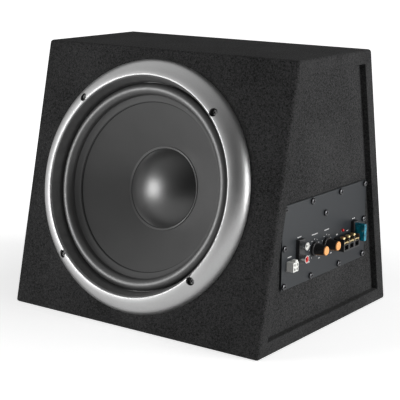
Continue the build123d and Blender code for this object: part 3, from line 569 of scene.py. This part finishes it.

# %% [markdown]
# ## Cone
# The cone is moulded plastic with a soft sheen and very fine turning lines. A thin dark line is painted where
# the rubber foot ends on it, as painted shadow of the foot's edge. The lines are too fine to model, so a sine
# of the distance from the axis raises them.

# %% Cone finish
FOOT_SHADOW_RADIUS = 0.0915
FOOT_SHADOW_INWARDS = 0.0007
FOOT_SHADOW_OUTWARDS = 0.0002
LINES_PER_METRE = 9000
CONE_DARK = grey(0.064)
CONE_LIGHT = grey(0.082)
cone = coat(Finish("cone_plastic", grey(0.05), roughness=0.45), "cone")
turning = from_axis(cone) * LINES_PER_METRE
lines = turning.math("SINE", turning)
cloud = cone.noise(scale=30, detail=2, roughness=0.5)
# Painted shadow: a thin dark ring on the cone along the rubber foot's edge.
foot_edge_shadow = (from_axis(cone) > FOOT_SHADOW_RADIUS - FOOT_SHADOW_INWARDS) * (from_axis(cone) < FOOT_SHADOW_RADIUS + FOOT_SHADOW_OUTWARDS)
cone.set("Base Color", cone.mix(foot_edge_shadow, cone.mix(cloud, CONE_DARK, CONE_LIGHT), grey(0.006)))
cone.set("Roughness", 0.44 + cloud * 0.1)
cone.bump(lines, strength=0.08, distance=0.0001)
print("cone seam at", FOOT_SHADOW_RADIUS)


# %% [markdown]
# ## Dust cap
# The cap is a shallow glossy dome, glued to the cone by a narrow rim. A spun arc would give the same
# shape from points worked out by hand. The top of a fine sphere, cut off at the shoulder by bisect,
# needs only a radius, and its open edge is extruded up the cone before the cap gets its wall.

# %% Dust cap sizes
CAP_RADIUS = 0.0457
CAP_SHOULDER = 0.0431
CAP_CROWN = 0.0140
CAP_WALL = 0.0009
CAP_LIFT = 0.0001


def cone_front(radius):
    """Height of the cone's front face at a distance from the driver's axis."""
    return CONE_EDGE - (ROLL_INNER - radius) * CONE_RISE


shoulder_height = cone_front(CAP_SHOULDER) + CAP_LIFT + CAP_WALL
rim_height = cone_front(CAP_RADIUS) + CAP_LIFT + CAP_WALL
dome = rim_height + CAP_CROWN - CAP_WALL - shoulder_height
ball = (CAP_SHOULDER**2 + dome**2) / (2 * dome)
print("dome", round(dome, 4), "high, cut from a sphere of radius", round(ball, 4))

# %% Dust cap shape
bpy.ops.mesh.primitive_uv_sphere_add(
    segments=96, ring_count=120, radius=ball, location=(0, 0, shoulder_height + dome - ball)
)
cap_dome = settle(named("dust_cap_dome"))
pick(cap_dome, "faces", lambda f: True)
bpy.ops.mesh.bisect(
    plane_co=(0, 0, shoulder_height), plane_no=(0, 0, 1), clear_inner=True, use_fill=False
)
leave_edit()
pick(cap_dome, "edges", lambda e: e.is_boundary)
bpy.ops.mesh.extrude_edges_move(TRANSFORM_OT_translate={"value": (0, 0, rim_height - shoulder_height)})
wider = CAP_RADIUS / CAP_SHOULDER
bpy.ops.transform.resize(value=(wider, wider, 1), center_override=(0, 0, rim_height))
leave_edit()
apply_modifier(cap_dome, "SOLIDIFY", thickness=CAP_WALL, offset=-1, use_even_offset=True)
smooth(settle(cap_dome, TO_DRIVER), 30)
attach(cap_dome, "cone_assembly")
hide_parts("dust_cap")
print("cap faces", len(cap_dome.data.polygons), "crown", round(rim_height + CAP_CROWN - CAP_WALL, 4))

# %% [markdown]
# ## Cap finish
# The dome is polished black plastic with a little dust. Its rim has the cone's own colour, and between
# them runs a dark line of glue. A clear coat over black would shine too, but a high IOR on one layer
# is fewer settings for the same gloss.

# %% Cap finish
GLUE_INWARDS = 0.0004
GLUE_OUTWARDS = 0.0007
cap = coat(Finish("cap_gloss", grey(0.02), roughness=0.36, IOR=1.6), "dust_cap")
dust = cap.noise(scale=45, detail=3, roughness=0.6)
cap_tone = cap.mix(dust, grey(0.008), grey(0.014))
glued_rim = from_axis(cap) > CAP_SHOULDER + GLUE_OUTWARDS
inside_glue = from_axis(cap) > CAP_SHOULDER - GLUE_INWARDS
glue_line = inside_glue * (from_axis(cap) < CAP_SHOULDER + GLUE_OUTWARDS)
cap.set("Base Color", cap.mix(glue_line, cap.mix(glued_rim, cap_tone, CONE_LIGHT), grey(0.002)))
cap.set("Roughness", 0.31 + dust * 0.1 + glue_line * 0.5)
cap.set("Specular IOR Level", 0.9)
dress(cap_dome, cap)
print("cap rim outside", round(CAP_SHOULDER + GLUE_OUTWARDS, 4))

# %% [markdown]
# ## Leads to the cone
# Two braided leads hang from the terminals to the back of the cone and must flex with it. They could be laid
# again as cords, but their run is already packed. So they are copied from that node, and the copy's loose
# triangles are merged.

# %% Tinsel leads
lead_copy = bpy.data.objects.new("flexible_leads", nodes["tinsel_leads"].data.copy())
bpy.context.collection.objects.link(lead_copy)
pick(lead_copy, "verts", lambda v: True)
bpy.ops.mesh.remove_doubles(threshold=TINY)
leave_edit()
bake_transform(lead_copy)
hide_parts("tinsel_leads")


# %% [markdown]
# ## A recipe for plain finishes
# The other pieces are moulded plastic, painted and plated metal, wood board, foam, cloth and copper.
# A single flat colour would look like a drawing. Every real surface has a faint mottle, a little
# change of gloss and a fine grain, and one noise gives all three.

# %% Recipe
def plain(name, color, roughness, metallic=0.0, scale=900, spread=0.25, relief=0.1):
    """A surface with a faint mottle, a little change of gloss and a fine grain."""
    made = Finish(name, color, roughness, metallic)
    mottle = made.noise(scale, detail=3, roughness=0.6)
    low = tuple(part * (1 - spread) for part in color)
    high = tuple(min(1, part * (1 + spread)) for part in color)
    made.set("Base Color", made.mix(mottle, low, high))
    made.set("Roughness", roughness * 0.85 + mottle * (0.3 * roughness))
    made.bump(mottle, relief, distance=0.0001)
    return made


print("recipe ready, finishes so far", len(bpy.data.materials))

# %% [markdown]
# ## Amplifier plate
# Sheet metal with a dark satin paint. Painted light makes its colour a little paler towards the front and the
# top, where more light falls. An even paint would be simpler, but on so large and flat a piece it would look
# like a hole.

# %% Plate paint
PAINTED_LIGHT_PER_METRE = (0, -4, 3)
plate_paint = Finish("plate_paint", (0.022, 0.024, 0.027), roughness=0.38, Specular_IOR_Level=0.25)
coat(plate_paint, "amp_plate")
speck = plate_paint.noise(scale=900, detail=3, roughness=0.6)
# Painted light: the paint is made paler towards the front and the top, mixed with a fine speck.
painted_light_and_speck = (plate_paint.along(PAINTED_LIGHT_PER_METRE, PLATE) + 0.5 + (speck - 0.5) * 0.6).between(0, 1)
plate_paint.set("Base Color", plate_paint.mix(painted_light_and_speck, (0.010, 0.012, 0.015), (0.034, 0.037, 0.040)))
plate_paint.set("Roughness", 0.34 + speck * 0.1)
plate_paint.bump(speck, strength=0.25, distance=0.0001)
print("plate paint on amp_plate")

# %% [markdown]
# ## Driver frame and screws
# The basket is painted metal and the gaskets are rubber and foam. The driver's screws get a darker, duller
# copy of the plate screws' black oxide, as painted shade where they stand in the ring's shade. One black for
# all the screws would be simpler.

# %% Frame, gaskets and screws
coat(plain("basket_paint", (0.03, 0.03, 0.032), roughness=0.4, scale=500), "basket")
gasket = plain("gasket_rubber", grey(0.12), roughness=0.65, scale=120, spread=0.4, relief=0.3)
coat(gasket, "driver_gasket")
# Painted shade: the driver's screws are a darker copy of the black oxide.
coat(plain("shaded_black_oxide", grey(0.05), roughness=0.42, metallic=0.6), "driver_screws")
black_oxide = plain("black_oxide", (0.11, 0.11, 0.115), roughness=0.26, metallic=1)
coat(black_oxide, "plate_screws", "heat_sink_screw")
coat(plain("foam", grey(0.03), roughness=0.95, scale=1400, spread=0.5, relief=0.8), "amp_gasket")
print("finishes", len(bpy.data.materials))

# %% [markdown]
# ## Moulded plastics
# The sockets, knobs and holders are one black plastic. The knobs' caps are orange, one socket's
# insulator is white and the other red. Each could have its own grain, but the bright plastics vary
# little, so the recipe with a small spread is enough.

# %% Plastics
black_plastic = plain("black_plastic", (0.018, 0.018, 0.019), roughness=0.34, scale=1200)
coat(black_plastic, "power_transistors", "rca_housing", "potentiometers", "terminal_block")
coat(black_plastic, "fuse_holder", "crossover_knob", "gain_knob")
orange = plain("orange_plastic", (0.85, 0.38, 0.12), roughness=0.4, spread=0.1)
coat(orange, "crossover_knob_cap", "gain_knob_cap")
white = plain("white_plastic", (0.8, 0.8, 0.77), roughness=0.45, spread=0.06)
coat(white, "input_connector", "rca_insulator_left")
coat(plain("red_plastic", (0.7, 0.03, 0.03), roughness=0.4, spread=0.12), "rca_insulator_right")
print("finishes", len(bpy.data.materials))

# %% [markdown]
# ## Plated metals
# Nickel on the sockets and shafts, brass on the terminals' frames and screws, zinc on the nuts, clamp
# pads and magnet's plates, tin on the blades. All could be one grey metal, but the eye knows them by
# their tints.

# %% Metals
TERMINALS = (1, 2, 3)
nickel = plain("nickel", (0.75, 0.74, 0.72), roughness=0.18, metallic=1, scale=800, spread=0.08)
coat(nickel, "rca_barrels", "crossover_shaft", "gain_shaft")
brass = plain("brass_plate", (0.86, 0.68, 0.36), roughness=0.3, metallic=1, scale=800, spread=0.1)
coat(brass, "terminal_frames", *(f"terminal_screw_{number}" for number in TERMINALS))
zinc = plain("zinc_plate", (0.62, 0.62, 0.63), roughness=0.34, metallic=1, scale=700, spread=0.12)
coat(zinc, "pot_nuts", "top_plate", "pole_plate", *(f"terminal_pad_{number}" for number in TERMINALS))
tin = plain("tinned_brass", (0.78, 0.72, 0.55), roughness=0.3, metallic=1, scale=700, spread=0.1)
coat(tin, "fuse_blades", "driver_terminals")
print("finishes", len(bpy.data.materials))

# %% [markdown]
# ## Magnet and electronics
# A dull ferrite ring, mill aluminium, a green board and shrink sleeves. They could carry print and
# solder, but they are seen only when the cabinet is opened or cut, so the plain recipe is enough.

# %% Magnet and electronics
coat(plain("ferrite", (0.07, 0.07, 0.075), roughness=0.6, spread=0.2, relief=0.3), "magnet")
aluminium = plain("mill_aluminium", (0.7, 0.7, 0.71), roughness=0.38, metallic=1, scale=600, spread=0.1)
coat(aluminium, "heat_sink", "coil_former")
coat(plain("solder_mask", (0.02, 0.12, 0.05), roughness=0.35, scale=500, spread=0.2), "circuit_board")
coat(plain("can_sleeve", (0.02, 0.025, 0.06), roughness=0.3, scale=500), "capacitors")
print("finishes", len(bpy.data.materials))

# %% [markdown]
# ## Wire, cloth and board
# Wound copper, a resin-stiffened cloth and pressed fibre all show their grain. Modelled threads would
# be lost at this size, so a stronger relief stands for them. The lead's jacket is smooth.

# %% Wire, cloth and board
copper = plain("copper_wire", (0.75, 0.38, 0.2), roughness=0.35, metallic=1, scale=1500, relief=0.6)
coat(copper, "toroid", "voice_coil", "tinsel_leads")
dress(lead_copy, copper)
cloth = plain("spider_cloth", (0.4, 0.28, 0.1), roughness=0.85, scale=1600, spread=0.4, relief=0.8)
coat(cloth, "spider")
coat(plain("lead_jacket", (0.4, 0.03, 0.03), roughness=0.5), "speaker_leads")
board = plain("fibreboard", (0.36, 0.25, 0.15), roughness=0.85, scale=600, spread=0.3, relief=0.5)
coat(board, "front_baffle", "top_board", "rear_board", "base_board", "left_end_board", "right_end_board")
print("finishes", len(bpy.data.materials))

# %% [markdown]
# ## Packed soft pieces, fuse and lamp
# The imported carpets and surround stay in the file behind their replacements, so they get the same finishes.
# The blade fuse is a teal plastic that light half enters. Transmission would be truer but takes long to
# render clean, so the light inside it is painted instead: a noise mottles its colour from dark to bright
# teal.

# %% Fuse and lamp
coat(carpet_felt, "wrap_carpet", "base_carpet", "end_carpets")
coat(rubber, "surround")
fuse = coat(Finish("fuse_plastic", (0.0, 0.12, 0.18), roughness=0.2), "fuse_body")
ribs = fuse.noise(scale=260, detail=4, roughness=0.65)
# Painted light: the noise paints the light inside the fuse, from dark to bright teal.
fuse_painted_light = (ribs - 0.36).between(0, 0.3) * 3.3
fuse.set("Base Color", fuse.mix(fuse_painted_light, (0.0, 0.06, 0.09), (0.005, 0.27, 0.38)))
fuse.bump(ribs, strength=0.5, distance=0.0004)
coat(plain("led_red", (0.6, 0.01, 0.01), roughness=0.15, scale=500, spread=0.1), "power_led")
print("finishes", len(bpy.data.materials))

# %% [markdown]
# ## Printed marks
# The plate carries plain print only: an arc of dots round each knob and a dashed line by each socket,
# knob and terminal. A mask in the paint could draw them, but as thin raised ink they show in the
# model as well.

# %% Making one mark
INK = 0.00012
ink = plain("white_ink", grey(0.62), roughness=0.6, spread=0.08)


def mark(across, up, size, round_dot):
    """A dot or a bar of ink, placed on the plate by its distance from the middle."""
    place = PLATE + Vector((INK / 2, across, up))
    if round_dot:
        bpy.ops.mesh.primitive_cylinder_add(vertices=12, radius=size, depth=INK, location=place)
        bpy.context.object.rotation_euler = (0, math.pi / 2, 0)
    else:
        bpy.ops.mesh.primitive_cube_add(size=1, location=place)
        bpy.context.object.scale = (INK, *size)
    return settle(bpy.context.object)


print("ink", INK, "m thick")

# %% Dots round the knobs
DOTS = 11
FIRST_DOT = -60
DOT_STEP = 30
DOT_RADIUS = 0.0005
DOT_CIRCLE = 0.0104


def knob_centre(name):
    """A knob's place on the plate: across it and up it from the middle."""
    low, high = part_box(name)
    return (low.y + high.y) / 2 - PLATE.y, (low.z + high.z) / 2 - PLATE.z


ink_marks = []
for knob in ("crossover_knob", "gain_knob"):
    knob_across, knob_up = knob_centre(knob)
    for step in range(DOTS):
        angle = math.radians(FIRST_DOT + DOT_STEP * step)
        across = knob_across + DOT_CIRCLE * math.cos(angle)
        up = knob_up + DOT_CIRCLE * math.sin(angle)
        ink_marks.append(mark(across, up, DOT_RADIUS, True))
print("dots", len(ink_marks))

# %% Dashed lines
DASH = (0.0013, 0.0011)
DASH_PITCH = 0.0020
DASHED_LINES = {
    "left socket": (-0.0539, 0.0066, 4),
    "crossover knob": (-0.0229, 0.0034, 6),
    "gain knob": (0.0021, 0.0034, 5),
    "terminal 1": (0.0246, -0.0066, 2),
    "terminal 2": (0.0361, -0.0050, 2),
    "terminal 3": (0.0476, -0.0066, 2),
    "fuse": (0.0606, 0.0046, 3),
    "input connector": (-0.0721, -0.0108, 4),
    "left of crossover knob": (-0.0335, -0.0245, 2),
    "right of crossover knob": (-0.0125, -0.0245, 2),
    "right of gain knob": (0.0125, -0.0245, 2),
}
for middle, up, count in DASHED_LINES.values():
    for step in range(count):
        across = middle + DASH_PITCH * (step - (count - 1) / 2)
        ink_marks.append(mark(across, up, DASH, False))
print("marks", len(ink_marks))

# %% The marks as one piece
clear_selection()
for piece in ink_marks:
    piece.select_set(True)
bpy.context.view_layer.objects.active = ink_marks[0]
bpy.ops.object.join()
marks = named("plate_marks")
settle(marks)
dress(marks, ink)
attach(marks, "enclosure")
print("marks joined, faces", len(marks.data.polygons))

# %% [markdown]
# ## Floor
# A pale floor that runs out to a white surround. More light would whiten it but also bleach the
# object, so the floor glows for the camera, and more weakly in what mirrors it. The glow is less near
# the object, so that its shadow stays.

# %% Floor
NEAR_GLOW = 0.62
GLOW_RISE = 0.8
GLOW_START = 0.25
MIRRORED_GLOW = 0.42
bpy.ops.mesh.primitive_plane_add(size=12, location=(0, 0, 0))
floor = named("floor")
floor_paint = Finish("floor_paint", grey(0.86), roughness=1.0)
floor_paint.set("Specular IOR Level", 0.0)
rays = floor_paint.tree.nodes.new("ShaderNodeLightPath")
seen = Value(floor_paint.tree, rays.outputs["Is Camera Ray"])
mirrored = Value(floor_paint.tree, rays.outputs["Is Glossy Ray"])
passed = Value(floor_paint.tree, rays.outputs["Is Transmission Ray"])
far_off = floor_paint.node("VectorMath", {"operation": "LENGTH"}, {0: floor_paint.object_place()}, 1)
floor_glow = NEAR_GLOW + GLOW_RISE * (far_off - GLOW_START).between(0, 1)
glow = (seen + passed) * floor_glow + mirrored * MIRRORED_GLOW
floor_paint.set("Emission Color", floor_paint.mix(glow.between(0, 1), (0, 0, 0), (1, 1, 1)))
floor_paint.set("Emission Strength", 1.0)
dress(floor, floor_paint)
print("floor glows from", NEAR_GLOW)

# %% [markdown]
# ## Sky
# The sky is a little brighter in front, and what shiny surfaces mirror of it brightens towards the
# upper left. A ready-made studio picture would do this, but needs a file. Two directions and the kind
# of ray say it with a few nodes.

# %% Sky
FRONT = (0.6, -0.8, 0.05)
UPPER_LEFT = (-0.75, 0.25, 0.6)
world = bpy.data.worlds.new("studio")
bpy.context.scene.world = world
world.use_nodes = True
tree = world.node_tree
background = tree.nodes["Background"]
path = tree.nodes.new("ShaderNodeLightPath")
seen = Value(tree, path.outputs["Is Camera Ray"]) + Value(tree, path.outputs["Is Transmission Ray"])
shiny = Value(tree, path.outputs["Is Glossy Ray"])
bearing = tree.nodes.new("ShaderNodeTexCoord")


def towards(direction):
    """How far the sky's own direction agrees with the given one, from -1 to 1."""
    step = tree.nodes.new("ShaderNodeVectorMath")
    step.operation = "DOT_PRODUCT"
    tree.links.new(bearing.outputs["Generated"], step.inputs[0])
    step.inputs[1].default_value = direction
    return Value(tree, step.outputs["Value"])


soft_front = 0.10 + towards(FRONT).between(0, 1) * 0.32
bright_side = (towards(UPPER_LEFT) * 0.6 + 0.1).between(0.05, 1)
level = soft_front + seen * (1 - soft_front) + shiny * (bright_side - soft_front)
background.inputs["Color"].default_value = (1, 1, 1, 1)
put(tree, level, background.inputs["Strength"])
print("sky nodes", len(tree.nodes))


# %% [markdown]
# ## Lamps
# A large soft light on the right lights the plate, and a smaller one at the left front draws the
# highlights on the cap and the ring's lip. Point lamps would give hard spots on the gloss, while an
# area lamp mirrors as a soft patch.

# %% Lamps
def softbox(name, place, aim, size, power):
    """A square area lamp at a place, turned towards a point."""
    bpy.ops.object.light_add(type="AREA", location=place)
    lamp = bpy.context.object
    lamp.name = name
    lamp.data.shape = "RECTANGLE"
    lamp.data.size = size
    lamp.data.size_y = size
    lamp.data.energy = power
    direction = Vector(aim) - Vector(place)
    lamp.rotation_euler = direction.to_track_quat("-Z", "Y").to_euler()
    print(name, power, "W")


softbox("right_light", place=(2.3, 0.5, 0.4), aim=(0.1, 0, 0.12), size=1.2, power=64)
softbox("left_light", place=(-1.45, -1.75, 0.34), aim=(0, 0, 0.15), size=0.85, power=31)

# %% Colour view transform
bpy.context.scene.view_settings.view_transform = "Standard"
clear_selection()
